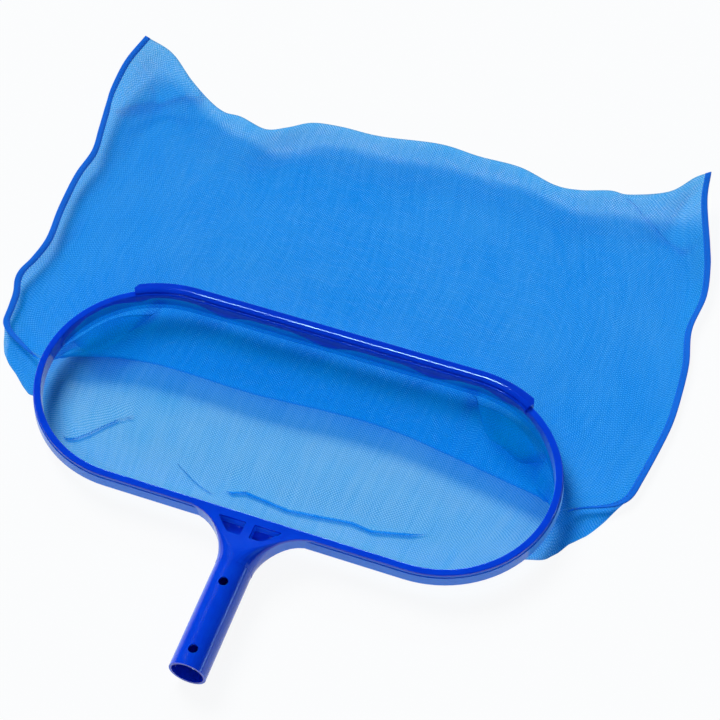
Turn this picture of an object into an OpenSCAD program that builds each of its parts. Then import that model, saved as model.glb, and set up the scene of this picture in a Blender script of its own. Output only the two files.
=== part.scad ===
// Leaf skimmer net: a moulded hoop with a tubular pole spigot, a clip-on
// front lip and a deep bag of fine mesh, lying flat with its mouth up.
// Origin: centre of the handle's open end. +Y runs up the handle to the hoop
// and the front lip, +X along the hoop, +Z out of the bag's mouth.

/* [Hoop] */
// Outer length of the hoop, across the handle
hoop_len = 420; // [380:5:440]
// Outer depth of the hoop, along the handle
hoop_depth = 181; // [170:1:190]
// Width of the rim's flat top
rim_w = 5.4; // [5.2:0.1:6]
// Height of the rim
rim_h = 13; // [12:0.5:14]
// Height of the rim's top above the handle's axis
rim_rise = 10.4; // [9.4:0.2:11]

/* [Handle] */
// Outside diameter of the handle tube, a sliding fit in a pool pole
handle_d = 28.5; // [28:0.1:29]
// Wall of the handle tube
handle_wall = 2; // [1.6:0.1:2.6]
// Distance from the open end to the hoop's near edge
handle_len = 126; // [120:1:150]
// Diameter of the two cross holes
pin_hole_d = 7.2; // [6.5:0.1:8]
// Distance from the open end to the first cross hole
pin_hole_y1 = 13.5; // [12:0.5:20]
// Distance from the open end to the second cross hole
pin_hole_y2 = 71; // [50:1:78]

/* [Neck] */
// Radius of the flare from the handle into the hoop
flare_r = 37; // [30:1:40]
// Step at the neck's start, which stops the pole
stop_step = 0.3; // [0.3:0.1:1]
// Depth of the two pockets
pocket_depth = 9; // [4:0.5:10]
// Width of the rib between the pockets
pocket_rib = 6.6; // [4:0.2:10]

/* [Front lip] */
// How far the lip's nose stands out past the rim
lip_reach = 7.2; // [5:0.2:9]
// How far the lip wraps round each corner of the hoop, in degrees
lip_wrap = 31; // [10:1:45]

/* [Bag] */
// Wall of the mesh, thickened from the real fabric
mesh_t = 0.5; // [0.4:0.1:0.6]
// Width of the tape that binds each side seam
tape_w = 5.6; // [5:0.2:8]
// Height of the folded tape
tape_h = 3; // [2.8:0.1:3.4]
// How high the bag's slack stands up along the far rim
slack_crest = 11; // [6:0.5:11.5]
// How far the bag's slack lies into the hoop from the far channel
slack_reach = 26.6; // [18:0.2:27]
// Height of the air between the bag's two sides beside the hoop
swell = 8; // [7.6:0.2:8.6]

/* [Hidden] */

handle_r = handle_d / 2;
floor_z = -handle_r;
rim_top = rim_rise;
rim_bottom = rim_top - rim_h;
half_w = rim_w / 2;
hoop_y = handle_len + hoop_depth / 2;
end_x = (hoop_len - hoop_depth) / 2;
path_r = hoop_depth / 2 - half_w;

// Channel under the rim that holds the bag's hem
channel_in = -1.1;
channel_out = 1.7;
channel_mid = (channel_in + channel_out) / 2;
channel_roof = rim_top - 2;
ridge = 0.4;
ridge_top = rim_bottom + 3.2;
cord_d = 1.7;
hem_t = 0.3;
hem_r = cord_d / 2 + hem_t;
cord_z = ridge_top + hem_r + 0.3;
hem_bottom = rim_bottom - 0.5;
plies_gap = 0.2;

function lerp(a, b, t) = a + (b - a) * t;
function ramp(t) = let (c = max(0, min(1, t))) c * c * (3 - 2 * c);
function unit(p) = p / norm(p);
function arc(c, r, a0, a1, n) =
    [for (i = [0 : n]) let (a = lerp(a0, a1, i / n)) c + r * [cos(a), sin(a)]];

// ---- sweeps round the hoop ----------------------------------------------

// Puts a profile at the far end of a revolve: x is outward from the path.
module on_radius() {
    translate([path_r, 0]) children();
}

// A straight run of the profile along +X, with its outer side towards +Y
module run(length) {
    rotate([90, 0, 90]) linear_extrude(length) on_radius() children();
}

module corner(a0, a1) {
    rotate([0, 0, a0]) rotate_extrude(angle = a1 - a0, $fn = 96) on_radius() children();
}

// The profile all the way round the hoop
module round_hoop() {
    translate([0, hoop_y, 0]) {
        translate([-end_x, 0, 0]) run(2 * end_x) children();
        rotate([0, 0, 180]) translate([-end_x, 0, 0]) run(2 * end_x) children();
        translate([end_x, 0, 0]) corner(-90, 90) children();
        translate([-end_x, 0, 0]) corner(90, 270) children();
    }
}

// ---- frame: hoop, neck and handle, one moulding --------------------------

module rim_profile() {
    inner = -half_w;
    edge = 0.7;
    foot_out = half_w + 1.5;
    difference() {
        polygon(concat(
            arc([inner + edge, rim_top - edge], edge, 180, 90, 3),
            arc([half_w - edge, rim_top - edge], edge, 90, 0, 3),
            [[half_w + 0.1, rim_top - 3], [half_w + 0.8, rim_top - 3.5]],
            [[foot_out, rim_bottom + 0.8], [foot_out - 0.5, rim_bottom]],
            [[inner + 0.3, rim_bottom], [inner - 0.2, rim_bottom + 0.6]]));
        bead_channel();
    }
}

// Deep slot with two ridges near its mouth, behind which the bead sits
module bead_channel() {
    polygon([
        [channel_in + ridge, rim_bottom - 1], [channel_in + ridge, ridge_top - 1],
        [channel_in, ridge_top], [channel_in, channel_roof],
        [channel_out, channel_roof], [channel_out, ridge_top],
        [channel_out - ridge, ridge_top - 1], [channel_out - ridge, rim_bottom - 1]]);
}

// Round at the handle and a low rounded box at the hoop, w and h its half
// sizes, r its corner radius and cz its middle height
neck_y0 = handle_len - flare_r;
neck_y1 = handle_len + 0.6;
neck_rings = 14;
neck_r0 = handle_r + stop_step;
top_step = 0.1;
function neck_w(y) =
    let (d = min(flare_r, y - neck_y0))
    neck_r0 + flare_r - sqrt(max(0, flare_r * flare_r - d * d));
function neck_top(y) = lerp(handle_r + top_step, rim_top, ramp((y - neck_y0) / flare_r));
function neck_bottom(y) = lerp(-neck_r0, rim_bottom, ramp((y - neck_y0) / flare_r));
function neck_corner(y) =
    let (h = (neck_top(y) - neck_bottom(y)) / 2)
    min(h, lerp(neck_r0, 1.2, ramp((y - neck_y0) / (flare_r - 6)))) - 0.05;
function neck_ring(y) =
    let (
        top = neck_top(y), bottom = neck_bottom(y), r = neck_corner(y),
        w = neck_w(y) - r, h = (top - bottom) / 2 - r, cz = (top + bottom) / 2)
    [for (q = [0 : 3]) for (i = [0 : 7])
        let (a = 90 * q + 90 * i / 7, sx = (q == 0 || q == 3) ? 1 : -1, sz = q < 2 ? 1 : -1)
        [-sx * w - r * cos(a), y, cz + sz * h + r * sin(a)]];

// Joins equal rings of points into a closed solid. Each ring runs clockwise
// as seen from before the first, and ends lists the convex faces that close it.
module skin(rings, ends) {
    n = len(rings[0]);
    m = len(rings);
    polyhedron(
        [for (ring = rings) each ring],
        concat(
            ends,
            [for (j = [0 : m - 2]) for (i = [0 : n - 1]) for (f = [0, 1])
                let (a = j * n + i, b = j * n + (i + 1) % n)
                f == 0 ? [a, a + n, b + n] : [a, b + n, b]],
            [for (end = ends) [for (k = [len(end) - 1 : -1 : 0]) (m - 1) * n + end[k]]]));
}

module neck() {
    rings = [for (i = [0 : neck_rings])
        neck_ring(lerp(neck_y0, neck_y1, 1 - pow(1 - i / neck_rings, 1.25)))];
    skin(rings, [[for (i = [0 : len(rings[0]) - 1]) i]]);
}

// One of the two pockets moulded into the neck's top
module neck_pocket() {
    far_y = handle_len - 1.4;
    near_y = far_y - 13;
    inner_x = pocket_rib / 2;
    translate([0, 0, rim_top - pocket_depth])
        linear_extrude(pocket_depth + 5)
            polygon([
                [inner_x, near_y + 0.8], [inner_x + 0.8, near_y], [inner_x + 9.4, near_y],
                [inner_x + 11.6, near_y + 1.2], [inner_x + 21.4, far_y - 1.2],
                [inner_x + 20.8, far_y], [inner_x + 0.8, far_y], [inner_x, far_y - 0.8]]);
}

module frame() color("mediumblue") {
    bore_r = handle_r - handle_wall;
    bore_len = neck_y0 + 2;
    difference() {
        union() {
            round_hoop() rim_profile();
            neck();
            rotate([-90, 0, 0]) cylinder(r = handle_r, h = neck_y0 + 1, $fn = 96);
        }
        translate([0, -1, 0])
            rotate([-90, 0, 0]) cylinder(r = bore_r, h = bore_len + 1, $fn = 96);
        translate([0, bore_len - 0.01, 0])
            rotate([-90, 0, 0]) cylinder(r1 = bore_r, r2 = bore_r - 5, h = 5, $fn = 96);
        for (y = [pin_hole_y1, pin_hole_y2])
            translate([0, y, -20]) cylinder(d = pin_hole_d, h = 40, $fn = 48);
        neck_pocket();
        mirror([1, 0, 0]) neck_pocket();
    }
}

// ---- front lip -----------------------------------------------------------

// Clip-on profile: a short inner leg, a low crest and a nose that slopes
// outward to scoop under leaves
module lip_profile() {
    nose = half_w + lip_reach;
    clear = 0.15;
    polygon(concat(
        [[-half_w - 1.5, rim_top - 4.5], [-half_w - 1.7, rim_top + 0.6]],
        arc([-half_w - 0.9, rim_top + 0.9], 0.8, 180, 60, 4),
        [[-half_w + 0.1, rim_top + 1.2]],
        arc([0.4, rim_top - 4.4], 7.2, 108, 62, 8),
        arc([nose - 1.3, rim_top - 1.5], 1.3, 55, -70, 5),
        [[half_w + 3.6, rim_top - 5], [half_w + 1.6, rim_top - 6.5]],
        [[half_w + 0.8 + clear + 0.3, rim_top - 6.5], [half_w + 0.8 + clear, rim_top - 3.4]],
        [[half_w + 0.1 + clear, rim_top - 2.8], [half_w + clear, rim_top]],
        [[-half_w - clear, rim_top], [-half_w - clear - 0.1, rim_top - 4.5]]));
}

module front_lip() color("blue") translate([0, hoop_y, 0]) {
    translate([-end_x, 0, 0]) run(2 * end_x) lip_profile();
    for (side = [0, 1]) mirror([side, 0, 0]) lip_end();
}

// The left end of the lip, bent round the hoop's corner, with the nose's
// outer corner cut away
module lip_end() {
    nose_r = path_r + half_w + lip_reach;
    chamfer = 5;
    translate([-end_x, 0, 0]) difference() {
        corner(90, 90 + lip_wrap) lip_profile();
        rotate([0, 0, 90 + lip_wrap]) translate([nose_r - chamfer, 0, 0])
            rotate([0, 0, -45]) translate([-10, 0, 0]) cube([30, 20, rim_top + 10]);
    }
}

// ---- hem and its cord ----------------------------------------------------

// Tape folded round the cord, with both its plies hanging out of the channel
module hem_profile() {
    translate([channel_mid, 0]) {
        difference() {
            translate([0, cord_z]) circle(r = hem_r, $fn = 32);
            translate([0, cord_z]) circle(r = cord_d / 2, $fn = 32);
            translate([-plies_gap / 2, cord_z - 5]) square([plies_gap, 5]);
        }
        for (side = [-1, 1])
            translate([side * (plies_gap + hem_t) / 2 - hem_t / 2, hem_bottom])
                square([hem_t, cord_z - hem_r + 0.2 - hem_bottom]);
    }
}

module mouth_hem() color("dodgerblue") round_hoop() hem_profile();

module hem_cord() color("white")
    round_hoop() translate([channel_mid, cord_z]) circle(r = cord_d / 2 - 0.05, $fn = 32);

// ---- mesh bag ------------------------------------------------------------

// The sides of the lying bag, from the hoop's ends to the far corners, with the
// height of the seam's middle
hem_low = hem_bottom - 0.2;
seam_left = [
    [-207, 0, hem_low], [-243, 14, -9], [-264, 45, -8], [-268, 80, -5], [-262, 118, -4],
    [-267, 155, -4], [-267, 195, -4], [-268, 232, -2], [-275, 268, -1], [-277, 308, 3],
    [-270, 343, 8]];
seam_right = [
    [207, 0, hem_low], [240, 21, -9], [262, 51, -9], [269, 90, -9], [271, 128, -9],
    [268, 166, -8], [263, 203, -7], [266, 238, -6], [258, 277, -3], [246, 318, 1],
    [239, 358, 7]];
// The fold at the bottom of the bag, from left to right, curling up off the ground
fold_line = [
    [-270, 343, 8], [-241, 334, 6], [-205, 304, 2], [-172, 289, 0], [-133, 281, 2],
    [-98, 302, 1], [-60, 307, 0], [-20, 310, 0], [15, 316, 1], [55, 314, 1], [95, 313, 0],
    [130, 306, 0], [170, 316, 1], [211, 329, 3], [239, 358, 7]];
sheet_w = 540;

// A smooth line through a list of points, t from 0 to 1
function along(pts, t) =
    let (
        n = len(pts) - 1, u = min(n - 0.0001, max(0, t * n)), i = floor(u), f = u - i,
        b = pts[i], c = pts[i + 1],
        a = i > 0 ? pts[i - 1] : 2 * b - c, d = i < n - 1 ? pts[i + 2] : 2 * c - b)
    b + 0.5 * f * (c - a + f * (2 * a - 5 * b + 4 * c - d + f * (3 * (b - c) + d - a)));

function flat(p) = [p.x, p.y];

// The direction of a seam in plan, turned towards the bag
function into_bag(pts, v, end) =
    let (q = unit(flat(along(pts, min(1, v + 0.01)) - along(pts, max(0, v - 0.01)))))
    end * [q.y, -q.x];

// Half the mouth, from its left end to its right: the direction out of the hoop
// as an angle, and the place. side is -1 for the near half, 1 for the far one.
mouth_r = path_r + channel_mid;
seam_gap = 0.8;
function mouth_turn(s) =
    let (
        quarter = mouth_r * PI / 2, d = s * (2 * end_x + 2 * quarter),
        past = max(0, d - quarter - 2 * end_x))
    180 - 90 * min(1, d / quarter) - 90 * past / quarter;
function mouth_x(s) =
    let (quarter = mouth_r * PI / 2, d = s * (2 * end_x + 2 * quarter) - quarter)
    max(0, min(2 * end_x, d)) - end_x;
function mouth(s, side) =
    [mouth_x(s) + mouth_r * cos(mouth_turn(s)),
     side * max(seam_gap, mouth_r * sin(mouth_turn(s)))];

function seam(pts, v, side) =
    flat(along(pts, v)) + [0, side * seam_gap * max(0, 1 - 6 * v)];

// Distance along the sheet from the nearer seam
function from_seam(s) = sheet_w * min(s, 1 - s);

// Plan of a panel: s across the bag, v from the mouth to the fold. Beside a
// seam both panels run together into the tape.
in_tape = 6;
function panel(s, v, side) =
    let (
        line = s < 0.5 ? seam_left : seam_right,
        sheet = lerp(mouth(s, side), flat(along(fold_line, s)), v),
        left = seam(seam_left, v, side) - lerp(mouth(0, side), flat(fold_line[0]), v),
        right = seam(seam_right, v, side) - lerp(mouth(1, side), flat(fold_line[14]), v),
        hold = 1 + 7 * pow(1 - v, 3),
        free = sheet + left * pow(1 - s, hold) + right * pow(s, hold),
        sewn = seam(line, v, side) + into_bag(line, v, s < 0.5 ? 1 : -1) * from_seam(s),
        held = ramp(v / 0.14) * ramp(6 * (1 - v)))
    lerp(free, sewn, held * (1 - ramp((from_seam(s) - in_tape) / 34)));

// The near panel's slack stands out beside both ends of the hoop
billow_size = 14;
billow_at = 35;
billow_half = 25;
function bump(t) = abs(t) < 1 ? pow(1 - t * t, 2) : 0;
function billow(s, v) =
    let (size = billow_size * ramp(v / 0.03) * ramp(1 - (v - 0.04) / 0.12))
    size * bump((from_seam(s) - billow_at) / billow_half)
    * (s < 0.5 ? [-0.15, -0.99] : [0.6, -0.8]);

// How far the lying bag is off the ground: up to its seams and its fold. Beside
// the hoop's ends the near panel turns back under the tape before it comes down.
edge_h = 1.6;
fold_h = 2.4;
curl_len = 60;
slope_len = 26;
function rise(s, v, side) =
    let (
        foot = floor_z + edge_h / 2, d = from_seam(s) - in_tape,
        height = along(s < 0.5 ? seam_left : seam_right, v).z - foot,
        straight = ramp(1 - d / (slope_len + 1.2 * height)),
        folded = 0.45 * ramp(1 - d / 18) + 0.55 * ramp(1 - (d - 24) / 12),
        beside = side < 0 ? lerp(folded, straight, ramp((v - 0.15) / 0.12)) : straight,
        end = along(fold_line, s),
        curl = ramp(1 - (1 - v) * (end.y - mouth(s, side).y) / curl_len))
    max(height * beside, (end.z - foot) * curl);

// Height from the near panel up to the far one
far_swell = 5.2;
function air(s, v) =
    let (middle = lerp(swell, far_swell, ramp((v - 0.3) / 0.5)))
    lerp(edge_h, lerp(fold_h, middle, ramp(6 * (1 - v))), ramp((from_seam(s) - in_tape) / 30));

function drop(v) = ramp(v / 0.07);

function near_point(s, v) =
    let (p = panel(s, v, -1) + billow(s, v))
    [p.x, p.y, lerp(hem_low, floor_z + rise(s, v, -1), drop(v))];

// The far panel's slack, as a section: how far into the hoop and how high. It
// stands up along the rim, lies forward and turns back under the rim. Between
// its crests it is drawn down.
crest_dip = 5.2;
crest_pitch = 86;
crest_x = -47;
function crest(x) = slack_crest - crest_dip * (1 - cos(360 * (x - crest_x) / crest_pitch)) / 2;
function slack_path(x, reach) =
    let (top = crest(x))
    [[0, hem_low], [4.8, -4.2], [5.9, -1], [5.9, top - 3], [6.8, top - 0.5], [8.2, top],
     [9.6, top - 1], [10.8, top - 4.5], [12.4, 0.4], [max(13.4, reach - 2.2), -0.4],
     [max(15, reach), -1.8], [max(13, reach - 2), -3.2], [10, -5.4], [0, swell + floor_z]];
slack_rows = 13;
function slack_edge(s) = mouth_r - (mouth_r - slack_reach) / max(0.1, sin(mouth_turn(s)));

// The slack begins round the hoop's corners as a low shelf, with its tip at row
// 10, and rises along the rim from there
tip_row = 10;
function far_point(s, j, near_v, far_v) =
    let (
        begun = min(1, from_seam(s) / 76), v = lerp(near_v, far_v, begun),
        reach = slack_edge(s), up = ramp((reach - 10) / 16), tip = max(0, min(16, 1.2 * (reach - 4))),
        p = panel(s, v, 1), turn = mouth_turn(s), bed = floor_z + rise(s, v, 1) + air(s, v),
        k = min(j, slack_rows), slack = slack_path(p.x, reach)[k],
        out = k < tip_row ? k / tip_row : (slack_rows - k) / (slack_rows - tip_row),
        shelf = k <= tip_row ? hem_low - 0.1 * k : bed + 0.35 * (slack_rows - k),
        low = lerp(lerp(hem_low, bed, k / slack_rows), shelf, min(1, tip / 5)),
        z = lerp(lerp(hem_low, bed, drop(v)), j < slack_rows ? low : bed, begun),
        into = lerp(tip * out, slack.x, up))
    [p.x - into * cos(turn), p.y - into * sin(turn), j < slack_rows ? lerp(z, slack.y, up) : z];

// Rings round the bag, from the mouth to the fold: the near panel from left to
// right and the far panel back. Stations lie closer beside the seams.
rows = 26;
beside = [0, 2.4, 6.2, 10, 14, 19, 25, 31, 37, 44, 53, 64, 76, 86] / sheet_w;
stations = concat(
    beside,
    [for (i = [0 : 18]) lerp(0.18, 0.82, i / 18)],
    [for (i = [len(beside) - 1 : -1 : 0]) 1 - beside[i]]);
function spread(t) = lerp(t, ramp(t), 0.8);
function bag_ring(j) =
    let (
        near_v = spread(j / rows),
        far_v = near_v * ramp((j - slack_rows) / 7),
        last = len(stations) - 1)
    concat(
        [for (i = [0 : last]) near_point(stations[i], near_v)],
        [for (i = [last : -1 : 0]) far_point(stations[i], j, near_v, far_v)]);

// Each point of one ring moved inward by the wall, along the surface's normal
function inner_ring(rings, j) =
    let (
        ring = rings[j], ahead = rings[min(rows, j + 1)], behind = rings[max(0, j - 1)],
        n = len(ring), back = j == rows ? 1.2 : 0)
    [for (i = [0 : n - 1])
        let (normal = unit(cross(ring[(i + 1) % n] - ring[(i + n - 1) % n], ahead[i] - behind[i])))
        ring[i] + mesh_t * normal - [0, back, 0]];

// The sack as one closed solid: outer skin, inner skin, the fold's two end
// strips and the edge at the mouth
module sack() {
    outer = [for (j = [0 : rows]) bag_ring(j)];
    inner = [for (j = [0 : rows]) inner_ring(outer, j)];
    n = len(outer[0]);
    in0 = n * (rows + 1);
    function wall(base, flip) =
        [for (j = [0 : rows - 1]) for (i = [0 : n - 1]) for (f = [0, 1])
            let (
                a = base + j * n + i, b = base + j * n + (i + 1) % n,
                t = f == 0 ? [a, b, b + n] : [a, b + n, a + n])
            flip ? [t[0], t[2], t[1]] : t];
    function strip(base, flip) =
        [for (i = [0 : n / 2 - 2]) for (f = [0, 1])
            let (
                a = base + rows * n + i, b = a + 1,
                d = base + rows * n + n - 1 - i, c = d - 1,
                t = f == 0 ? [a, b, c] : [a, c, d])
            flip ? [t[0], t[2], t[1]] : t];
    polyhedron(
        concat([for (r = outer) each r], [for (r = inner) each r]),
        concat(
            wall(0, false), wall(in0, true), strip(0, false), strip(in0, true),
            [for (i = [0 : n - 1]) for (f = [0, 1])
                let (a = i, b = (i + 1) % n, c = in0 + b, d = in0 + a)
                f == 0 ? [a, d, c] : [a, c, b]]));
}

module mesh_bag() color("deepskyblue", 0.5) translate([0, hoop_y, 0]) sack();

// ---- side bindings -------------------------------------------------------

// A C-shaped section, open towards the bag: tape folded over the seam
module binding(pts, side) {
    first = 0.1;
    steps = 30;
    tape_t = 0.4;
    clear = 0.3;
    slot = edge_h / 2 + clear;
    section = [
        [clear + tape_t, -tape_h / 2], [clear + tape_t, tape_h / 2],
        [tape_t + clear - tape_w, tape_h / 2], [tape_t + clear - tape_w, slot],
        [clear, slot], [clear, -slot],
        [tape_t + clear - tape_w, -slot], [tape_t + clear - tape_w, -tape_h / 2]];
    translate([0, hoop_y, 0])
        skin([for (i = [0 : steps])
            let (
                k = side < 0 ? i : steps - i, v = lerp(first, 1, k / steps), p = along(pts, v),
                out = into_bag(pts, v, side))
            [for (c = section) [p.x + out.x * c.x, p.y + out.y * c.x, p.z + c.y]]],
            [[0, 1, 4, 5], [1, 2, 3, 4], [0, 5, 6, 7]]);
}

module left_binding() color("royalblue") binding(seam_left, -1);
module right_binding() color("royalblue") binding(seam_right, 1);

frame();
front_lip();
mesh_bag();
left_binding();
right_binding();
mouth_hem();
hem_cord();
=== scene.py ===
"""Looks of a leaf skimmer net lying flat with its mouth up.

The row's frame is used throughout: the origin is the centre of the handle's
open end, +Y runs up the handle to the hoop, +X along the hoop, +Z up.
Shapes are worked out in millimetres and put into their meshes in metres.
"""

import bisect
import math

import bmesh
import bpy
from mathutils import Matrix, Vector, noise


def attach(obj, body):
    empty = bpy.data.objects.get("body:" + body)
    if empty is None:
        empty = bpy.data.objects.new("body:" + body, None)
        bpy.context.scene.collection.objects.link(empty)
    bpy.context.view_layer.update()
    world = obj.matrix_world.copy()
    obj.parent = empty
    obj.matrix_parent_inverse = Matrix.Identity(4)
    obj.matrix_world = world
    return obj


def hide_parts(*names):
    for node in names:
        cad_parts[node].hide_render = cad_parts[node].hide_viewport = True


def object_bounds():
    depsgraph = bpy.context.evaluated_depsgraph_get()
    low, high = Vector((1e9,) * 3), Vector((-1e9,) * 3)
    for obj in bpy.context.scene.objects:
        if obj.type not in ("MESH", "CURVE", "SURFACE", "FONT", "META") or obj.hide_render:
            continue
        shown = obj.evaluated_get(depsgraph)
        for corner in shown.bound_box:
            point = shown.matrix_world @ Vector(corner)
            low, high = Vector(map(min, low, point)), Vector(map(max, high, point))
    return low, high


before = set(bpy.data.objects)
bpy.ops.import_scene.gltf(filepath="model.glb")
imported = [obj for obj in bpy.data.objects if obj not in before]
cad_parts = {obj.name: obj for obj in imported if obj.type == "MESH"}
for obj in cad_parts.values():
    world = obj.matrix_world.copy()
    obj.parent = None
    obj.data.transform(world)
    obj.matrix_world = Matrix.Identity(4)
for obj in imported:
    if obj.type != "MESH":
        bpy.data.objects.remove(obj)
CAD_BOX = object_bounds()

MM = 0.001
GROUND = CAD_BOX[0][2] / MM

# The hoop, as the CAD has it: its middle, where its round ends begin, the radius of the line
# that the rim follows and of the channel under it, the rim's top, and the bag's mouth
HOOP_Y = 216.5
END_X = 119.5
PATH_R = 87.8
MOUTH_R = PATH_R + 0.3
RIM_TOP = 10.4
MOUTH_Z = -3.4

# The handle's bore: its radius and how deep it goes
BORE_R = 12.25
BORE_END = 92

# The bag's flat cut: one sheet, folded across its middle at the bag's bottom
SHEET_W = 540
PANEL_L = 404


# ---- small helpers --------------------------------------------------------


def lerp(a, b, t):
    """From a at t = 0 to b at t = 1."""
    return a + (b - a) * t


def smooth(t):
    """0 up to t = 0, 1 from t = 1, with a smooth rise between them."""
    t = min(1.0, max(0.0, t))
    return t * t * (3 - 2 * t)


def bump(t):
    """1 at t = 0, falling smoothly to 0 at t = -1 and t = 1."""
    return smooth(1 - abs(t))


def line_through(points, steps=16):
    """A smooth line through the points, as a function of the share of its length, from 0 to 1."""
    pts = [Vector(p) for p in points]
    n = len(pts) - 1
    fine = []
    for i in range(n):
        b, c = pts[i], pts[i + 1]
        a = pts[i - 1] if i > 0 else 2 * b - c
        d = pts[i + 2] if i < n - 1 else 2 * c - b
        for k in range(steps):
            f = k / steps
            bend = 2 * a - 5 * b + 4 * c - d + f * (3 * (b - c) + d - a)
            fine.append(b + 0.5 * f * (c - a + f * bend))
    fine.append(pts[-1])
    far = [0.0]
    for p, q in zip(fine, fine[1:]):
        far.append(far[-1] + (q - p).length)

    def along(t):
        want = min(1.0, max(0.0, t)) * far[-1]
        i = min(len(fine) - 2, max(0, bisect.bisect_right(far, want) - 1))
        step = far[i + 1] - far[i]
        return fine[i].lerp(fine[i + 1], (want - far[i]) / step if step else 0)

    along.length = far[-1]
    return along


def linear(code):
    """An sRGB hex colour as the linear colour that a socket takes."""
    parts = [int(code[i : i + 2], 16) / 255 for i in (1, 3, 5)]
    opened = [c / 12.92 if c <= 0.04045 else ((c + 0.055) / 1.055) ** 2.4 for c in parts]
    return (*opened, 1.0)


def add(tree, kind, settings=None, links=None):
    """Adds a node. settings are its properties. links are its sockets, each with a value, a colour
    or another node's output."""
    made = tree.nodes.new(kind)
    for name, value in (settings or {}).items():
        setattr(made, name, value)
    for name, value in (links or {}).items():
        if isinstance(value, bpy.types.NodeSocket):
            tree.links.new(value, made.inputs[name])
        else:
            made.inputs[name].default_value = value
    return made


def new_material(name):
    material = bpy.data.materials.new(name)
    material.use_nodes = True
    material.node_tree.nodes.clear()
    return material, material.node_tree


def show(tree, shader):
    add(tree, "ShaderNodeOutputMaterial", links={"Surface": shader})


def finish_piece(bm, name, material, sharp=35):
    """Makes a piece in the row's frame of a mesh in millimetres about the hoop's centre. Edges that
    turn by more than sharp degrees stay crisp."""
    bmesh.ops.transform(bm, matrix=Matrix.Translation((0, HOOP_Y, 0)), verts=bm.verts)
    bmesh.ops.scale(bm, vec=(MM, MM, MM), verts=bm.verts)
    mesh = bpy.data.meshes.new(name)
    bm.to_mesh(mesh)
    bm.free()
    mesh.materials.append(material)
    mesh.shade_smooth()
    mesh.set_sharp_from_angle(angle=math.radians(sharp))
    piece = bpy.data.objects.new(name, mesh)
    bpy.context.scene.collection.objects.link(piece)
    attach(piece, "root")
    return piece


# ---- materials ------------------------------------------------------------


def mottle(tree, place, size, low, high):
    """Slow uneven change from low to high over patches of that size in millimetres."""
    patches = add(
        tree,
        "ShaderNodeTexNoise",
        links={"Vector": place, "Scale": 1 / (size * MM), "Detail": 3.0},
    )
    return add(
        tree,
        "ShaderNodeMapRange",
        links={
            "Value": patches.outputs["Fac"],
            "From Min": 0.3,
            "From Max": 0.7,
            "To Min": low,
            "To Max": high,
        },
    ).outputs["Result"]


# The skirt below the rim's top face: from where the painted light, which stands for light that
# comes through it, starts to show, to where all of it does. Beside the handle, from NECK_FROM to
# NECK_TO, less of it shows.
SKIRT_FROM = RIM_TOP - 0.8
SKIRT_TO = RIM_TOP - 3.2
NECK_FROM = BORE_END + 4
NECK_TO = BORE_END + 26
NECK_SHARE = 0.35


def outside_hoop(tree, axes):
    """1 outside the line that the rim follows, 0 inside it."""
    off_middle = add(tree, "ShaderNodeMath", {"operation": "ABSOLUTE"}, {0: axes.outputs["X"]})
    past_end = add(
        tree,
        "ShaderNodeMath",
        {"operation": "SUBTRACT"},
        {0: off_middle.outputs[0], 1: END_X * MM},
    )
    in_turn = add(
        tree,
        "ShaderNodeMath",
        {"operation": "MAXIMUM"},
        {0: past_end.outputs[0], 1: 0.0},
    )
    off_centre = add(
        tree,
        "ShaderNodeMath",
        {"operation": "SUBTRACT"},
        {0: axes.outputs["Y"], 1: HOOP_Y * MM},
    )
    from_centre = add(
        tree,
        "ShaderNodeCombineXYZ",
        links={"X": in_turn.outputs[0], "Y": off_centre.outputs[0]},
    )
    reach = add(
        tree,
        "ShaderNodeVectorMath",
        {"operation": "LENGTH"},
        {0: from_centre.outputs[0]},
    )
    return add(
        tree,
        "ShaderNodeMath",
        {"operation": "GREATER_THAN"},
        {0: reach.outputs["Value"], 1: PATH_R * MM},
    ).outputs[0]


def painted_skirt_light(tree, axes, normal):
    """How much painted light goes on the outer skirt, on its upright faces only; it stands for
    light that comes through the thin plastic.
    """
    past_neck = add(
        tree,
        "ShaderNodeMapRange",
        {"interpolation_type": "SMOOTHSTEP"},
        {
            "Value": axes.outputs["Y"],
            "From Min": NECK_FROM * MM,
            "From Max": NECK_TO * MM,
            "To Min": NECK_SHARE,
            "To Max": outside_hoop(tree, axes),
        },
    )
    skirt = add(
        tree,
        "ShaderNodeMapRange",
        {"interpolation_type": "SMOOTHSTEP"},
        {
            "Value": axes.outputs["Z"],
            "From Min": SKIRT_FROM * MM,
            "From Max": SKIRT_TO * MM,
            "To Max": past_neck.outputs["Result"],
        },
    )
    facing = add(tree, "ShaderNodeSeparateXYZ", links={"Vector": normal})
    return add(
        tree,
        "ShaderNodeMapRange",
        {"interpolation_type": "SMOOTHSTEP"},
        {
            "Value": facing.outputs["Z"],
            "From Min": 0.9,
            "From Max": 0.6,
            "To Max": skirt.outputs["Result"],
        },
    ).outputs["Result"]


def painted_bore_shade(tree, place, axes):
    """Where the bore's painted shade goes: 1 in the handle's bore, fading out across the edge of
    its open end.
    """
    across = add(
        tree,
        "ShaderNodeVectorMath",
        {"operation": "MULTIPLY"},
        {0: place, 1: (1, 0, 1)},
    )
    off_axis = add(
        tree,
        "ShaderNodeVectorMath",
        {"operation": "LENGTH"},
        {0: across.outputs[0]},
    )
    in_tube = add(
        tree,
        "ShaderNodeMath",
        {"operation": "LESS_THAN"},
        {0: axes.outputs["Y"], 1: BORE_END * MM},
    )
    return add(
        tree,
        "ShaderNodeMapRange",
        links={
            "Value": off_axis.outputs["Value"],
            "From Min": (BORE_R + 0.9) * MM,
            "From Max": (BORE_R + 0.4) * MM,
            "To Max": in_tube.outputs[0],
        },
    ).outputs["Result"]


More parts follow.
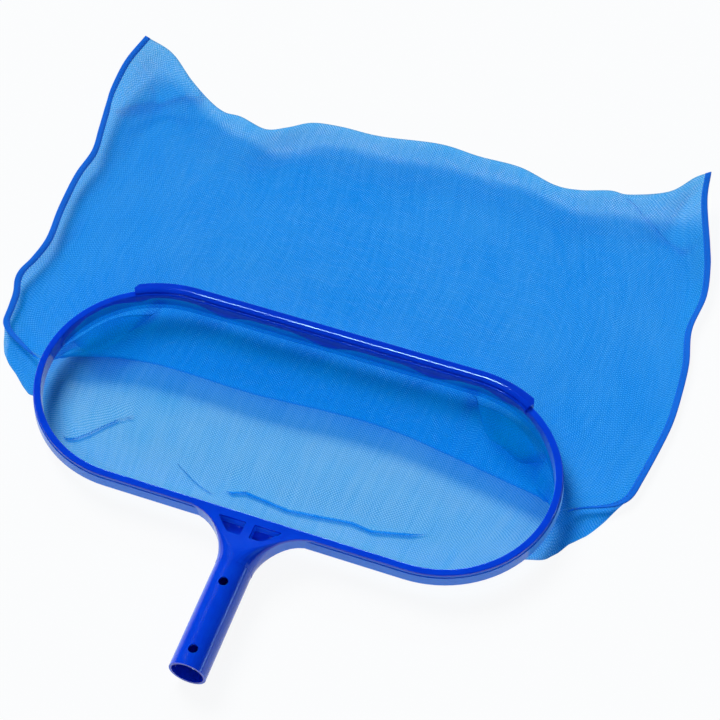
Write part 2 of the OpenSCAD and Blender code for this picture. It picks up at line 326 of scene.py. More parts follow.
def moulded_plastic(name, colour, deeper, thin, roughness, peel_size):
    """Injection-moulded and polished: one saturated colour all through, a soft gloss, a shallow
    orange peel of peel_size millimetres that breaks up long highlights, and flow marks that cloud
    the gloss and turn the colour towards deeper. On the thin outer skirt's upright faces the colour
    is painted lighter, towards thin: painted light that stands for light coming through the
    plastic. The bore's inside is painted darker: painted shade, where little light reaches."""
    material, tree = new_material(name)
    space = add(tree, "ShaderNodeTexCoord")
    place = space.outputs["Object"]
    axes = add(tree, "ShaderNodeSeparateXYZ", links={"Vector": place})
    tint = add(
        tree,
        "ShaderNodeMix",
        {"data_type": "RGBA"},
        {0: mottle(tree, place, 14, 0.0, 1.0), 6: linear(colour), 7: linear(deeper)},
    )
    # Painted light: the outer skirt's upright faces turn towards thin, for light that comes through
    # them.
    painted_through_light = add(
        tree,
        "ShaderNodeMix",
        {"data_type": "RGBA"},
        {
            0: painted_skirt_light(tree, axes, space.outputs["Normal"]),
            6: tint.outputs[2],
            7: linear(thin),
        },
    )
    # Painted shade: the bore's inside turns towards #0032C8, where little light reaches.
    body = add(
        tree,
        "ShaderNodeMix",
        {"data_type": "RGBA"},
        {0: painted_bore_shade(tree, place, axes), 6: painted_through_light.outputs[2], 7: linear("#0032C8")},
    )
    peel = add(
        tree,
        "ShaderNodeTexNoise",
        links={"Vector": place, "Scale": 1 / (peel_size * MM), "Detail": 2.0},
    )
    relief = add(
        tree,
        "ShaderNodeBump",
        links={"Height": peel.outputs["Fac"], "Strength": 0.3, "Distance": 0.05 * MM},
    )
    shader = add(
        tree,
        "ShaderNodeBsdfPrincipled",
        links={
            "Base Color": body.outputs[2],
            "Roughness": mottle(tree, place, 9, roughness - 0.03, roughness + 0.05),
            "IOR": 1.49,
            "Subsurface Weight": 0.3,
            "Subsurface Radius": (0.1, 0.7, 1.0),
            "Subsurface Scale": 4 * MM,
            "Normal": relief.outputs["Normal"],
        },
    )
    show(tree, shader.outputs["BSDF"])
    return material


def bands(tree, value, pitch, width, soft, low=0.0, high=1.0):
    """high on lines that are pitch millimetres apart, low between them. width is the share of the
    pitch that a line takes up, and soft the share over which its edges fade."""
    steps = add(
        tree, "ShaderNodeMath", {"operation": "MULTIPLY"}, {0: value, 1: 1 / (pitch * MM)}
    )
    middle = add(tree, "ShaderNodeMath", {"operation": "PINGPONG"}, {0: steps.outputs[0], 1: 0.5})
    line = add(
        tree,
        "ShaderNodeMapRange",
        {"interpolation_type": "SMOOTHSTEP"},
        {
            "Value": middle.outputs[0],
            "From Min": width / 2 + soft,
            "From Max": width / 2 - soft,
            "To Min": low,
            "To Max": high,
        },
    )
    return line.outputs["Result"]


# The net as drawn, in millimetres: how far apart its holes are, and how far its threads wander
# over what length. Then how much of the light threads and holes catch, and how much of that goes
# straight on.
NET_PITCH = 1.6
WANDER = 3.2
WANDER_SIZE = 16
THREAD_COVER = 0.80
HOLE_COVER = 0.27
STRAIGHT_ON = 0.70


def net_cover(tree, flat):
    """How much of the light the net catches from place to place."""
    wander = add(
        tree,
        "ShaderNodeTexNoise",
        links={"Vector": flat, "Scale": 1 / (WANDER_SIZE * MM), "Detail": 2.0},
    )
    shifted = add(
        tree,
        "ShaderNodeVectorMath",
        {"operation": "MULTIPLY_ADD"},
        {0: wander.outputs["Color"], 1: (WANDER * MM, WANDER * MM, 0), 2: flat},
    )
    turned = add(
        tree,
        "ShaderNodeMapping",
        links={"Vector": shifted.outputs[0], "Rotation": (0, 0, math.radians(45))},
    )
    axes = add(tree, "ShaderNodeSeparateXYZ", links={"Vector": turned.outputs["Vector"]})
    warp = bands(tree, axes.outputs["X"], NET_PITCH, 0.34, 0.18, HOLE_COVER, THREAD_COVER)
    weft = bands(tree, axes.outputs["Y"], NET_PITCH, 0.34, 0.18, HOLE_COVER, THREAD_COVER)
    close = add(tree, "ShaderNodeMath", {"operation": "MAXIMUM"}, {0: warp, 1: weft})
    pulled = add(
        tree,
        "ShaderNodeVectorMath",
        {"operation": "MULTIPLY"},
        {0: shifted.outputs[0], 1: (1, 0.07, 1)},
    )
    creases = mottle(tree, pulled.outputs[0], 3.4, 0.91, 1.08)
    creased = add(
        tree,
        "ShaderNodeMath",
        {"operation": "MULTIPLY"},
        {0: close.outputs[0], 1: creases},
    )
    patches = mottle(tree, flat, 75, 0.95, 1.10)
    return add(
        tree,
        "ShaderNodeMath",
        {"operation": "MULTIPLY", "use_clamp": True},
        {0: creased.outputs[0], 1: patches},
    ).outputs[0]


def woven_net(name):
    """Fine polyester net, woven. Its filaments are clear: they scatter a little pale azure, and
    most of the light they catch goes straight on, tinted blue. Its holes pass all of it. The real
    holes are about 0.5 mm, too fine to show, so they are drawn NET_PITCH apart. The threads wander
    a little, and crowd together along fine creases and in wide patches, as they do in cheap net
    that has been folded and drawn about."""
    material, tree = new_material(name)
    flat = add(tree, "ShaderNodeUVMap", {"uv_map": "flat"}).outputs["UV"]
    front = add(
        tree,
        "ShaderNodeBsdfPrincipled",
        links={
            "Base Color": linear("#00C4FF"),
            "Roughness": 0.6,
            "IOR": 1.5,
            "Specular IOR Level": 0.1,
        },
    )
    through = add(tree, "ShaderNodeBsdfTransparent", links={"Color": linear("#00C6FF")})
    thread = add(
        tree,
        "ShaderNodeMixShader",
        links={0: STRAIGHT_ON, 1: front.outputs["BSDF"], 2: through.outputs["BSDF"]},
    )
    hole = add(tree, "ShaderNodeBsdfTransparent")
    mixed = add(
        tree,
        "ShaderNodeMixShader",
        links={0: net_cover(tree, flat), 1: hole.outputs["BSDF"], 2: thread.outputs["Shader"]},
    )
    show(tree, mixed.outputs["Shader"])
    return material


def woven_tape(name, colour, edge):
    """Woven polyester binding tape: close ribs across its length, and lighter where it is folded
    over the bag's edge, which is its first edge. The real ribs are about 0.4 mm apart, and are
    drawn 0.9 mm apart so that they show."""
    material, tree = new_material(name)
    flat = add(tree, "ShaderNodeUVMap", {"uv_map": "flat"}).outputs["UV"]
    axes = add(tree, "ShaderNodeSeparateXYZ", links={"Vector": flat})
    ribs = bands(tree, axes.outputs["X"], 0.9, 0.5, 0.2)
    folded = add(
        tree,
        "ShaderNodeMapRange",
        {"interpolation_type": "SMOOTHSTEP"},
        {
            "Value": axes.outputs["Y"],
            "From Min": 4.2 * MM,
            "From Max": 0.8 * MM,
        },
    )
    shade = add(
        tree,
        "ShaderNodeMix",
        {"data_type": "RGBA"},
        {0: folded.outputs["Result"], 6: linear(colour), 7: linear(edge)},
    )
    worn = add(
        tree,
        "ShaderNodeMix",
        {"data_type": "RGBA", "blend_type": "MULTIPLY"},
        {0: mottle(tree, flat, 7, 0.0, 0.35), 6: shade.outputs[2], 7: linear("#C4D4E6")},
    )
    relief = add(
        tree,
        "ShaderNodeBump",
        links={"Height": ribs, "Strength": 0.6, "Distance": 0.12 * MM},
    )
    shader = add(
        tree,
        "ShaderNodeBsdfPrincipled",
        links={
            "Base Color": worn.outputs[2],
            "Roughness": 0.62,
            "Specular IOR Level": 0.3,
            "Sheen Weight": 0.1,
            "Normal": relief.outputs["Normal"],
        },
    )
    show(tree, shader.outputs["BSDF"])
    return material


def sewing_thread(name, colour):
    """Twisted polyester thread: a little brighter and silkier than the tape it sits in."""
    material, tree = new_material(name)
    place = add(tree, "ShaderNodeTexCoord").outputs["Object"]
    tint = add(
        tree,
        "ShaderNodeMix",
        {"data_type": "RGBA", "blend_type": "MULTIPLY"},
        {0: mottle(tree, place, 2, 0.0, 0.5), 6: linear(colour), 7: linear("#B8C8E0")},
    )
    shader = add(
        tree,
        "ShaderNodeBsdfPrincipled",
        links={"Base Color": tint.outputs[2], "Roughness": 0.45, "Sheen Weight": 0.2},
    )
    show(tree, shader.outputs["BSDF"])
    return material


def braided_cord(name, colour, deeper):
    """Round braided polyester cord: small plaits about 1.2 mm across, matt, with painted shade in
    between them.
    """
    material, tree = new_material(name)
    place = add(tree, "ShaderNodeTexCoord").outputs["Object"]
    plaits = add(
        tree,
        "ShaderNodeTexVoronoi",
        links={"Vector": place, "Scale": 1 / (1.2 * MM)},
    )
    # Painted shade: the colour turns towards deeper between the plaits.
    tint = add(
        tree,
        "ShaderNodeMix",
        {"data_type": "RGBA"},
        {0: plaits.outputs["Distance"], 6: linear(colour), 7: linear(deeper)},
    )
    relief = add(
        tree,
        "ShaderNodeBump",
        {"invert": True},
        {"Height": plaits.outputs["Distance"], "Strength": 0.7, "Distance": 0.25 * MM},
    )
    shader = add(
        tree,
        "ShaderNodeBsdfPrincipled",
        links={
            "Base Color": tint.outputs[2],
            "Roughness": 0.75,
            "Normal": relief.outputs["Normal"],
        },
    )
    show(tree, shader.outputs["BSDF"])
    return material


# ---- the bag --------------------------------------------------------------

# The side seams, from the hoop's ends to the bag's far corners
seam_left = line_through(
    [
        (-207, 0, MOUTH_Z),
        (-217, 3, -6),
        (-228, 7, -8),
        (-243, 14, -9),
        (-254, 20, -9),
        (-261, 28, -9),
        (-263, 42, -8),
        (-265, 55, -7),
        (-269, 67, -6),
        (-269, 77, -5),
        (-265, 92, -5),
        (-262, 114, -4),
        (-266, 146, -4),
        (-268, 184, -4),
        (-265, 212, -3),
        (-269, 236, -2),
        (-274, 264, 0),
        (-276, 281, 3),
        (-275, 310, 8),
        (-268, 339, 12),
    ]
)
seam_right = line_through(
    [
        (207, 0, MOUTH_Z),
        (217, 9, -7),
        (228, 16, -9),
        (240, 21, -9.5),
        (251, 27, -9.5),
        (259, 37, -9.5),
        (263, 55, -9),
        (268, 86, -9),
        (271, 112, -9),
        (271, 138, -9),
        (269, 170, -8),
        (263, 203, -7),
        (266, 238, -6),
        (262, 266, -3),
        (256, 287, 0),
        (243, 327, 6),
        (239, 354, 11),
    ]
)
# The fold across the bag's bottom, from left to right, curling up off the ground
fold = line_through(
    [
        (-268, 339, 12),
        (-240, 331, 9),
        (-213, 310, 5),
        (-191, 297, 0),
        (-174, 289, 0),
        (-158, 288, 1),
        (-133, 281, 2),
        (-116, 289, 2),
        (-98, 302, 1),
        (-73, 307, 0),
        (-38, 308, 0),
        (13, 316, 1),
        (49, 314, 1),
        (85, 315, 0),
        (118, 306, 0),
        (140, 307, 1),
        (164, 315, 1),
        (180, 316, 1),
        (211, 327, 5),
        (228, 346, 9),
        (239, 354, 11),
    ]
)


def mouth(s, side):
    """Half of the hoop's channel, from its left end to its right. side is -1 near, 1 far."""
    quarter = MOUTH_R * math.pi / 2
    d = s * (2 * END_X + 2 * quarter)
    if quarter <= d <= quarter + 2 * END_X:
        return Vector((d - quarter - END_X, side * MOUTH_R, MOUTH_Z))
    if d < quarter:
        turn, end = math.pi - d / MOUTH_R, -END_X
    else:
        turn, end = math.pi / 2 - (d - quarter - 2 * END_X) / MOUTH_R, END_X
    return Vector(
        (end + MOUTH_R * math.cos(turn), side * MOUTH_R * math.sin(turn), MOUTH_Z)
    )


def inward(s, side):
    """The direction from the channel towards the line between the centres of the hoop's ends."""
    p = mouth(s, side)
    centre = Vector((min(END_X, max(-END_X, p.x)), 0, MOUTH_Z))
    return (centre - p).normalized()


def panel(s, v, side):
    """Plan of one panel: s from the left seam to the right, v from the mouth to the fold. Near the
    mouth only the cloth close to a seam follows it."""
    sheet = mouth(s, side).lerp(fold(s), v)
    left = seam_left(v) - mouth(0, side).lerp(fold(0), v)
    right = seam_right(v) - mouth(1, side).lerp(fold(1), v)
    hold = 1 + 7 * (1 - v) ** 3
    return sheet + left * (1 - s) ** hold + right * s**hold


def lying(s, v, low):
    """Height of a ply that lies at low and rises to the seams and the fold at its edges. The strips
    that rise are broad_left and broad_right millimetres wide, and wider towards the ears."""
    uneven = 12 * noise.noise(Vector((11 * v, 0, 4.7)))
    broad_left = lerp(36, 58, smooth((v - 0.6) / 0.3)) + uneven
    broad_right = lerp(26, 50, smooth((v - 0.65) / 0.3)) - uneven
    raise_left = (seam_left(v).z - low) * smooth(1 - s * SHEET_W / broad_left)
    raise_right = (seam_right(v).z - low) * smooth(1 - (1 - s) * SHEET_W / broad_right)
    raise_far = (fold(s).z - low) * smooth((v - 0.86) / 0.14)
    return low + max(raise_left, raise_right, raise_far)


def ripple(p, size, height, seed):
    """Slow waves of slack cloth."""
    return height * noise.noise(Vector((p.x / size, p.y / size, seed)))


def streaks(p, across, along, height, seed):
    """Slow waves drawn out towards the bag's bottom, as in cloth that is pulled that way."""
    return height * noise.noise(Vector((p.x / across, p.y / along, seed)))


def nearest(points, p):
    """Where p lies beside a line in plan: share of the way along it, distance to its left, and the
    direction to its left."""
    best = None
    for i, (a, b) in enumerate(zip(points, points[1:])):
        dx, dy = b[0] - a[0], b[1] - a[1]
        span = dx * dx + dy * dy
        f = min(1.0, max(0.0, ((p.x - a[0]) * dx + (p.y - a[1]) * dy) / span))
        ox, oy = p.x - a[0] - f * dx, p.y - a[1] - f * dy
        off = ox * ox + oy * oy
        if best is None or off < best[0]:
            left = (-dy, dx)
            side = 1 if ox * left[0] + oy * left[1] >= 0 else -1
            best = (off, (i + f) / (len(points) - 1), side, left, span)
    off, t, side, left, span = best
    size = math.sqrt(span)
    return t, side * math.sqrt(off), Vector((left[0] / size, left[1] / size, 0))


class Tuck:
    """A thin tuck in lying cloth: the cloth on the left of a line is drawn over the line by `over`,
    so that three plies lie there, raised by lift. It turns over within half on both sides of the
    line, and lies as before again `fade` further on. All are in millimetres."""

    def __init__(self, points, over, half, lift, fade=30):
        self.points = points
        self.over = over
        self.half = half
        self.lift = lift
        self.fade = fade
        xs = [q[0] for q in points]
        ys = [q[1] for q in points]
        self.box = (min(xs) - fade, max(xs) + fade, min(ys) - fade, max(ys) + fade)

    def draw(self, p):
        if not (self.box[0] < p.x < self.box[1] and self.box[2] < p.y < self.box[3]):
            return
        t, off, left = nearest(self.points, p)
        if off < -self.half or off > self.fade:
            return
        ends = smooth(t / 0.07) * smooth((1 - t) / 0.07)
        if off < self.half:
            share = smooth((off + self.half) / (2 * self.half))
            height = share
        else:
            share = 1 - smooth((off - self.half) / (self.fade - self.half))
            height = 1 - smooth((off - self.half) / 12)
        p.xyz = p - left * (self.over * ends * share)
        p.z += self.lift * ends * height


# Tucks in the single ply that shows through the hoop, and in the far corners' ears
near_tucks = [
    Tuck(
        [(-38, -60), (-20, -53), (-1, -55), (16, -57), (42, -54), (65, -51), (82, -53), (130, -41)],
        over=5.0,
        half=1.0,
        lift=1.2,
    ),
    Tuck(
        [(-173, -55), (-163, -52), (-156, -45), (-149, -36), (-140, -26), (-124, -15)],
        over=5.4,
        half=1.4,
        lift=1.2,
        fade=16,
    ),
    Tuck(
        [(-80, -46), (-70, -52), (-63, -56), (-55, -60), (-40, -65)],
        over=2.9,
        half=1.3,
        lift=0.3,
    ),
]
far_tucks = [
    Tuck(
        [(-268, 258), (-254, 272), (-240, 284), (-216, 294), (-192, 299)],
        over=7.0,
        half=3.0,
        lift=1.8,
    ),
    Tuck(
        [(174, 316), (187, 311), (198, 303), (210, 297), (225, 288), (243, 276)],
        over=7.0,
        half=3.0,
        lift=1.8,
    ),
]


def between(table, x):
    """Looks x up in a table of (x, y) pairs, straight from one to the next."""
    for (a, p), (b, q) in zip(table, table[1:]):
        if x < b:
            return lerp(p, q, max(0.0, (x - a) / (b - a)))
    return table[-1][1]


# How far the near panel's slack stands out, against the share of the way from the mouth to the
# fold. The billows stand out towards the handle, and the cheek sideways.
LEFT_BILLOW = [(0, 0), (0.02, 15), (0.05, 14), (0.08, 10), (0.12, 5), (0.17, 0)]
LEFT_CHEEK = [(0, 0), (0.05, 0), (0.08, 4), (0.10, 8), (0.12, 9), (0.14, 7), (0.18, 0)]
RIGHT_BILLOW = [(0, 0), (0.02, 16), (0.05, 14), (0.08, 11), (0.12, 9), (0.145, 6), (0.18, 0)]


def billow(s, v):
    """The near panel's slack stands out beyond the seams beside both of the hoop's ends, and
    folds back under itself."""
    left = between(LEFT_BILLOW, v) * bump((s - 0.036) / 0.046)
    cheek = between(LEFT_CHEEK, v) * bump((s - 0.04) / 0.05)
    right = between(RIGHT_BILLOW, v) * bump((s - 0.945) / 0.062)
    out_left = Vector((-0.15, -0.99, 0)) * left + Vector((-1, 0, 0)) * cheek
    out_right = Vector((0.6, -0.8, 0)) * right
    return out_left + out_right


def calm_edges(s, v, far):
    """1 in the middle of a panel, falling to 0 at its seams, its mouth and its fold."""
    along = smooth(v / 0.08) * smooth((1 - v) / far)
    return along * smooth(s / 0.06) * smooth((1 - s) / 0.06)


# Length of cloth from the hoop down to the ground
DROP = 24


def lower_point(s, v):
    """The near panel, which lies on the ground: s across the bag, v from the mouth to the fold."""
    p = panel(s, v, -1) + billow(s, v)
    low = lying(s, v, GROUND + 0.5)
    low += calm_edges(s, v, 0.1) * (0.5 + streaks(p, 9, 60, 0.45, 1.7))
    p.z = lerp(MOUTH_Z, low, smooth(v * PANEL_L / DROP))
    for tuck in near_tucks:
        tuck.draw(p)
    return p


# The edge where the far panel's slack turns back inside the hoop: how far past the hoop's middle
# it lies halfway along, away from the handle, and half its length
FLAP_EDGE = 23.5
FLAP_HALF = 204


def flap_edge(x):
    """Where that edge lies: a shallow bow from one end of the hoop to the other, a little wavy."""
    bow = 1 - min(1.0, abs(x) / FLAP_HALF) ** 3.5
    return FLAP_EDGE * bow + 2.5 * math.sin(x / 31)


def second_fold(x):
    """The slack is folded twice over itself at the hoop's two far corners: how far forward."""
    left = 50 * bump((x + 176) / 44)
    right = 40 * smooth((x - 108) / 38) * (1 - smooth((x - 170) / 38))
    return left + right


# Along the far rim the net stands up to CREST, but for the places where it is drawn down: where
# along the rim, how far down, and how wide
CREST = 11.2
LOW_PLACES = [(-166, 3.6, 20), (-90, 5.2, 26), (-5, 5.6, 30), (84, 5.2, 26), (146, 4.2, 22)]


def crest(x):
    drawn = max(depth * bump((x - at) / width) for at, depth, width in LOW_PLACES)
    return CREST - drawn


def flap_path(s):
    """The far panel's slack at s: up along the inside of the rim and over its own crest, forward
    to the flap's edge, and back under itself. Its points are how far forward, and the height. At
    the hoop's far corners it is folded over itself once more. The slack shrinks to nothing at the
    seams, where there is no room for it."""
    start = mouth(s, 1)
    reach = max(0.5, start.y - flap_edge(start.x))
    room = min(1.0, reach / 40)
    top = crest(start.x)
    twice = second_fold(start.x)
    fold_in = smooth(twice / 16)
    turn = min(reach - 6, lerp(13, max(13, twice), fold_in))
    near_rim = [
        (0, MOUTH_Z),
        (5.0, -4.2),
        (6.1, -1),
        (6.2, top - 2.4),
        (6.9, top - 0.3),
        (7.8, top),
        (lerp(9.5, lerp(8.4, turn, 0.5), fold_in), top - lerp(0.6, 3.6, fold_in)),
        (lerp(10.2, turn - 3, fold_in), top - lerp(1.0, 6.5, fold_in)),
        (lerp(10.8, turn, fold_in), lerp(top - 1.4, 0.8, fold_in)),
        (lerp(11.4, turn - 3, fold_in), lerp(top - 1.8, -0.4, fold_in)),
        (lerp(12, 15.6, fold_in), lerp(top - 2.2, 0.2, fold_in)),
        (lerp(12.6, 14, fold_in), lerp(top - 2.6, -0.9, fold_in)),
        (18, lerp(top - 5.6, -1.6, fold_in)),
        (30, lerp(top * 0.3 + 0.4, 0.6, fold_in)),
    ]
    front = [(9, 3.4), (1.4, 4.4), (0, 3.2), (1.8, 1.2), (9, -2.6)]
    back = [(30, -8.6), (8, -11.2), (0, -12)]
    shape = [(x * room, z) for x, z in near_rim]
    shape += [(reach - x * room, z) for x, z in front]
    shape += [(x * room, z) for x, z in back]
    return line_through([(x, lerp(MOUTH_Z, z, room), 0) for x, z in shape], 6)


# The share of the far panel that is slack, and the length of the rest from the hoop to the fold
FLAP_SHARE = 0.36
FAR_L = 290


def upper_point(s, w, path):
    """The far panel, which lies on top: w runs from the hoop's far channel, first along the slack's
    path and then on to the fold."""
    if w < FLAP_SHARE:
        at = path(w / FLAP_SHARE)
        into = inward(s, 1)
        first = min(at.x, 6.0)
        p = mouth(s, 1) + into * first + Vector((0, -1, 0)) * (at.x - first)
        away = smooth((at.x - 12) / 20)
        p.z = at.y + away * ripple(p, 30, 0.8, 5.2)
        return p
    v = (w - FLAP_SHARE) / (1 - FLAP_SHARE)
    p = panel(s, v, 1)
    low = lying(s, v, GROUND + 3.2)
    low += calm_edges(s, v, 0.12) * (0.8 + ripple(p, 48, 1.6, 8.3) + ripple(p, 21, 0.35, 2.9))
    p.z = lerp(path(1).y, low, smooth(v * FAR_L / DROP))
    for tuck in far_tucks:
        tuck.draw(p)
    return p


def spaced(count, dense):
    """Fractions from 0 to 1 in count steps. dense lists (share of the steps, share of the way)."""
    marks = [(0, 0)] + dense + [(1, 1)]
    out = []
    for i in range(count + 1):
        t = i / count
        for (a, p), (b, q) in zip(marks, marks[1:]):
            if t <= b:
                out.append(lerp(p, q, (t - a) / (b - a)))
                break
    return out


# Columns and rows of the bag's sheet
ACROSS = 236
NEAR_ROWS = 160
FAR_ROWS = 256


def make_bag(material):
    """One open sheet: up the near panel from the hoop to the fold, and down the far panel back to
    the hoop. Rows lie closer where there are tucks and folds. UV is the flat cloth, in metres."""
    near_rows = spaced(NEAR_ROWS, [(0.1, 0.05), (0.6, 0.185), (0.76, 0.45), (0.9, 0.88)])
    far_rows = spaced(FAR_ROWS, [(0.08, 0.10), (0.46, 0.64)])
    rows = near_rows + [1 + r for r in far_rows[1:]]
    bm = bmesh.new()
    flat = bm.loops.layers.uv.new("flat")
    bmesh.ops.create_grid(bm, x_segments=ACROSS, y_segments=len(rows) - 1, size=0.5)
    paths = {}
    place = {}
    for vert in bm.verts:
        column = round((vert.co.x + 0.5) * ACROSS)
        row = round((vert.co.y + 0.5) * (len(rows) - 1))
        s, t = column / ACROSS, rows[row]
        if column not in paths:
            paths[column] = flap_path(s)
        place[vert] = Vector((s * SHEET_W * MM, t * PANEL_L * MM))
        vert.co = lower_point(s, t) if t <= 1 else upper_point(s, 2 - t, paths[column])
    for face in bm.faces:
        for loop in face.loops:
            loop[flat].uv = place[loop.vert]
    return finish_piece(bm, "net_bag", material, sharp=180)


# ---- bindings, hem and stitches -------------------------------------------

# The folded tape: its width and thickness, how far it stands out past the net's edge, and its
# steps along a seam. Then its stitches: length, half width, half height, spacing, and distance
# from the tape's inner edge.
TAPE_W = 5.6
TAPE_T = 1.3
TAPE_PAST = 0.7
TAPE_STEPS = 170
STITCH = 2.1
STITCH_HALF_W = 0.32
STITCH_HALF_H = 0.28
STITCH_STEP = 3.2
STITCH_INSET = 1.5

# Points round a swept band, and the powers that square its round section off at edges and faces
AROUND = 12
EDGE_POWER = 0.45
FACE_POWER = 0.7


def swept_band(bm, stations, width, thick, closed):
    """A flat band with rounded edges. A station is its middle, the direction across it and the
    direction out of its face. UV is the length run and the distance from its first edge, both in
    metres."""
    flat = bm.loops.layers.uv.verify()
    bmesh.ops.create_grid(bm, x_segments=len(stations) - 1, y_segments=AROUND, size=0.5)
    run = [0.0]
    for a, b in zip(stations, stations[1:]):
        run.append(run[-1] + (b[0] - a[0]).length)
    place = {}
    for vert in bm.verts:
        i = round((vert.co.x + 0.5) * (len(stations) - 1))
        k = round((vert.co.y + 0.5) * AROUND)
        turn = 2 * math.pi * k / AROUND
        c, d = math.cos(turn), math.sin(turn)
        u = math.copysign(abs(c) ** EDGE_POWER, c) * width / 2
        n = math.copysign(abs(d) ** FACE_POWER, d) * thick / 2
        middle, across, out = stations[i]
        place[vert] = Vector((run[i] * MM, (u + width / 2) * MM))
        vert.co = middle + across * u + out * n
    for face in bm.faces:
        for loop in face.loops:
            loop[flat].uv = place[loop.vert]
    bmesh.ops.remove_doubles(bm, verts=bm.verts, dist=0.001)
    if not closed:
        rim = [edge for edge in bm.edges if edge.is_boundary]
        bmesh.ops.holes_fill(bm, edges=rim, sides=0)
    bmesh.ops.recalc_face_normals(bm, faces=bm.faces)


def binding_stations(side, count):
    """The tape round the bag's side edge, which follows both plies where they meet. It starts just
    outside the hoop."""
    out = []
    edge_s, in_s = (0.0, TAPE_W / SHEET_W) if side < 0 else (1.0, 1 - TAPE_W / SHEET_W)
    path = flap_path(in_s)
    for i in range(count + 1):
        v = lerp(0.045, 1.0, i / count)
        edge = lower_point(edge_s, v)
        upper_w = lerp(FLAP_SHARE, 1, v)
        inner = (lower_point(in_s, v) + upper_point(in_s, upper_w, path)) / 2
        across = (inner - edge).normalized()
        ahead = lower_point(edge_s, min(1, v + 0.01)) - lower_point(edge_s, max(0, v - 0.01))
        ahead.normalize()
        out_of = across.cross(ahead).normalized()
        if out_of.z < 0:
            out_of = -out_of
        out.append((edge + across * (TAPE_W / 2 - TAPE_PAST), across, out_of))
    return out


def add_stitches(bm, stations):
    """Running stitches on both faces of a tape, each one a short rounded bar sunk into it."""
    inset, lift = STITCH_INSET, TAPE_T / 2
    far = 0.0
    due = STITCH_STEP
    for (a, across, out), (b, *_) in zip(stations, stations[1:]):
        step = (b - a).length
        while far + step >= due:
            at = a.lerp(b, (due - far) / step)
            along = (b - a).normalized()
            turn = Matrix((along, across, out)).transposed().to_4x4()
            for face in (-1, 1):
                middle = at + across * (TAPE_W / 2 - inset) + out * (face * lift)
                size = Matrix.Diagonal((STITCH / 2, STITCH_HALF_W, STITCH_HALF_H, 1))
                bmesh.ops.create_uvsphere(
                    bm,
                    u_segments=6,
                    v_segments=4,
                    radius=1,
                    matrix=Matrix.Translation(middle) @ turn @ size,
                )
            due += STITCH_STEP
        far += step


def make_binding(name, side, tape, thread):
    """The tape on one side seam and its stitches. side is -1 left, 1 right."""
    stations = binding_stations(side, TAPE_STEPS)
    bm = bmesh.new()
    swept_band(bm, stations, TAPE_W, TAPE_T, closed=False)
    band = finish_piece(bm, name, tape, sharp=50)
    bm = bmesh.new()
    add_stitches(bm, stations)
    stitches = finish_piece(bm, name + "_stitches", thread, sharp=60)
    return band, stitches


# The hem's radius, the height of its middle, and its steps round the hoop
HEM_R = 1.45
HEM_Z = 2.05
HEM_STEPS = 220


def make_hem(tape):
    """The bag's mouth, turned over the cord and sewn: a round tube of tape in the channel."""
    stations = []
    for i in range(HEM_STEPS + 1):
        d = 2 * i / HEM_STEPS
        s, side = (d, -1) if d <= 1 else (2 - d, 1)
        into = inward(s, side)
        middle = mouth(s, side)
        middle.z = HEM_Z
        stations.append((middle, into, Vector((0, 0, 1))))
    bm = bmesh.new()
    swept_band(bm, stations, 2 * HEM_R, 2 * HEM_R, closed=True)
    return finish_piece(bm, "mouth_hem_tape", tape, sharp=60)


# ---- ground, light and camera --------------------------------------------


# Half the table's width in metres, and how much of its look is plain white where nothing is in
# front of it
TABLE_HALF = 3
TABLE_LIFT = 0.92


def make_floor():
    """A plain matt white table. Where nothing is in front, its shadows look much fainter than they
    are, and glossy parts mirror it as plain white."""
    bm = bmesh.new()
    bmesh.ops.create_grid(bm, x_segments=1, y_segments=1, size=TABLE_HALF)
    bmesh.ops.translate(bm, vec=(0, 0.3, (GROUND - 0.05) * MM), verts=bm.verts)
    mesh = bpy.data.meshes.new("floor")
    bm.to_mesh(mesh)
    bm.free()
    material, tree = new_material("matt_white_table")
    path = add(tree, "ShaderNodeLightPath")
    lit = add(tree, "ShaderNodeBsdfDiffuse", links={"Color": linear("#E6E6E6")})
    white = add(tree, "ShaderNodeEmission", links={"Strength": 1.0})
    bare = add(
        tree,
        "ShaderNodeMath",
        {"operation": "LESS_THAN"},
        {0: path.outputs["Transparent Depth"], 1: 0.5},
    )
    lifted = add(
        tree,
        "ShaderNodeMath",
        {"operation": "MULTIPLY"},
        {0: path.outputs["Is Camera Ray"], 1: bare.outputs[0]},
    )
    share = add(
        tree,
        "ShaderNodeMath",
        {"operation": "MULTIPLY_ADD"},
        {0: lifted.outputs[0], 1: TABLE_LIFT, 2: path.outputs["Is Glossy Ray"]},
    )
    seen = add(
        tree,
        "ShaderNodeMixShader",
        links={0: share.outputs[0], 1: lit.outputs[0], 2: white.outputs[0]},
    )
    show(tree, seen.outputs["Shader"])
    mesh.materials.append(material)
    floor = bpy.data.objects.new("floor", mesh)
    bpy.context.scene.collection.objects.link(floor)


# Cool lamps, and light that has come off the blue net
COOL = "#A8DCFF"
BOUNCED = "#74CCFF"


def make_world(level):
    """A plain pale world to the camera, which lights the object only at that level."""
    world = bpy.data.worlds.new("studio")
    world.use_nodes = True
    tree = world.node_tree
    tree.nodes.clear()
    path = add(tree, "ShaderNodeLightPath")
    seen = add(tree, "ShaderNodeBackground", links={"Strength": 1.0})
    light = add(tree, "ShaderNodeBackground", links={"Strength": level})
    mixed = add(
        tree,
        "ShaderNodeMixShader",
        links={
            0: path.outputs["Is Camera Ray"],
            1: light.outputs["Background"],
            2: seen.outputs["Background"],
        },
    )
    add(tree, "ShaderNodeOutputWorld", links={"Surface": mixed.outputs["Shader"]})
    bpy.context.scene.world = world


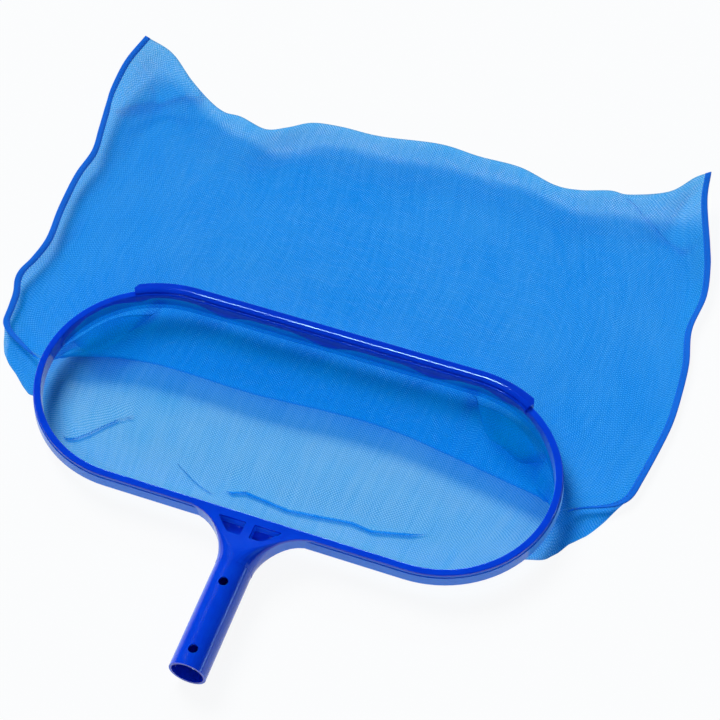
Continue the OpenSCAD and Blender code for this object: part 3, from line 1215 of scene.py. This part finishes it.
def make_softbox(name, azimuth, elevation, width, share, mirrored=True, colour="#FFFFFF"):
    """A far softbox, seen from the object as a disc of that width in degrees. azimuth is measured
    from +X towards +Y. share is how much of a white table's brightness it gives. Where it
    isn't mirrored, glossy parts don't show it."""
    data = bpy.data.lights.new(name, "SUN")
    data.color = linear(colour)[:3]
    data.angle = math.radians(width)
    data.energy = math.pi * share / math.sin(math.radians(elevation))
    lamp = bpy.data.objects.new(name, data)
    lamp.visible_glossy = mirrored
    turn = math.radians(azimuth)
    rise = math.radians(elevation)
    flat = math.cos(rise)
    towards = Vector((math.cos(turn) * flat, math.sin(turn) * flat, math.sin(rise)))
    lamp.rotation_euler = towards.to_track_quat("Z", "Y").to_euler()
    bpy.context.scene.collection.objects.link(lamp)


def make_lights():
    """One large softbox from the back left, rows of thin tubes whose reflections run along the lip
    and the rim, low strips for the handle and the rim's skirt, and soft fill from the front."""
    make_softbox("back_left_softbox", 140, 43, 26, 0.60, mirrored=False)
    for n in range(6):
        make_softbox(f"back_tube_{n}", 94 + 3.4 * n, 29, 3, 0.015, colour=COOL)
    for n in range(7):
        make_softbox(f"front_tube_{n}", -100 - 3.8 * n, 55, 1.6, 0.010, colour=COOL)
    make_softbox("right_strip", 25, 8, 6, 0.006, colour=COOL)
    make_softbox("low_front_strip", -96, 20, 16, 0.035, colour=COOL)
    make_softbox("front_left_softbox", -140, 58, 44, 0.06, colour=BOUNCED)
    make_softbox("front_right_softbox", -30, 50, 44, 0.12, colour=BOUNCED)


CAMERA_AT = Vector((0.3294, -0.5582, 1.2920))
CAMERA_TO = Vector((0.0267, 0.2910, 0.0104))


def make_camera():
    """High above the handle's open end and to its right, looking steeply down."""
    data = bpy.data.cameras.new("camera")
    data.lens = 100.1
    data.sensor_width = 36
    camera = bpy.data.objects.new("camera", data)
    camera.location = CAMERA_AT
    camera.rotation_euler = (CAMERA_TO - CAMERA_AT).to_track_quat("-Z", "Y").to_euler()
    bpy.context.scene.collection.objects.link(camera)
    bpy.context.scene.camera = camera


make_camera()
make_floor()
make_world(0.04)
make_lights()
bpy.context.scene.view_settings.view_transform = "Standard"

frame_plastic = moulded_plastic("blue_polypropylene", "#0046DA", "#0040D2", "#2890FF", 0.20, 2.4)
lip_vinyl = moulded_plastic("blue_soft_vinyl", "#003CCC", "#0036C2", "#003CCC", 0.08, 4.0)
net = woven_net("woven_net")
tape = woven_tape("woven_tape", "#0050BE", "#1070DC")
thread = sewing_thread("sewing_thread", "#1468D2")
cord = braided_cord("braided_cord", "#0E5ED2", "#002E8C")

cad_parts["frame"].material_slots[0].material = frame_plastic
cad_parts["front_lip"].material_slots[0].material = lip_vinyl
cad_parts["hem_cord"].material_slots[0].material = cord

bag = make_bag(net)
left_band, left_stitches = make_binding("left_binding_tape", -1, tape, thread)
right_band, right_stitches = make_binding("right_binding_tape", 1, tape, thread)
hem = make_hem(tape)
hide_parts("mesh_bag")
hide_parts("left_binding")
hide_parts("right_binding")
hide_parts("mouth_hem")
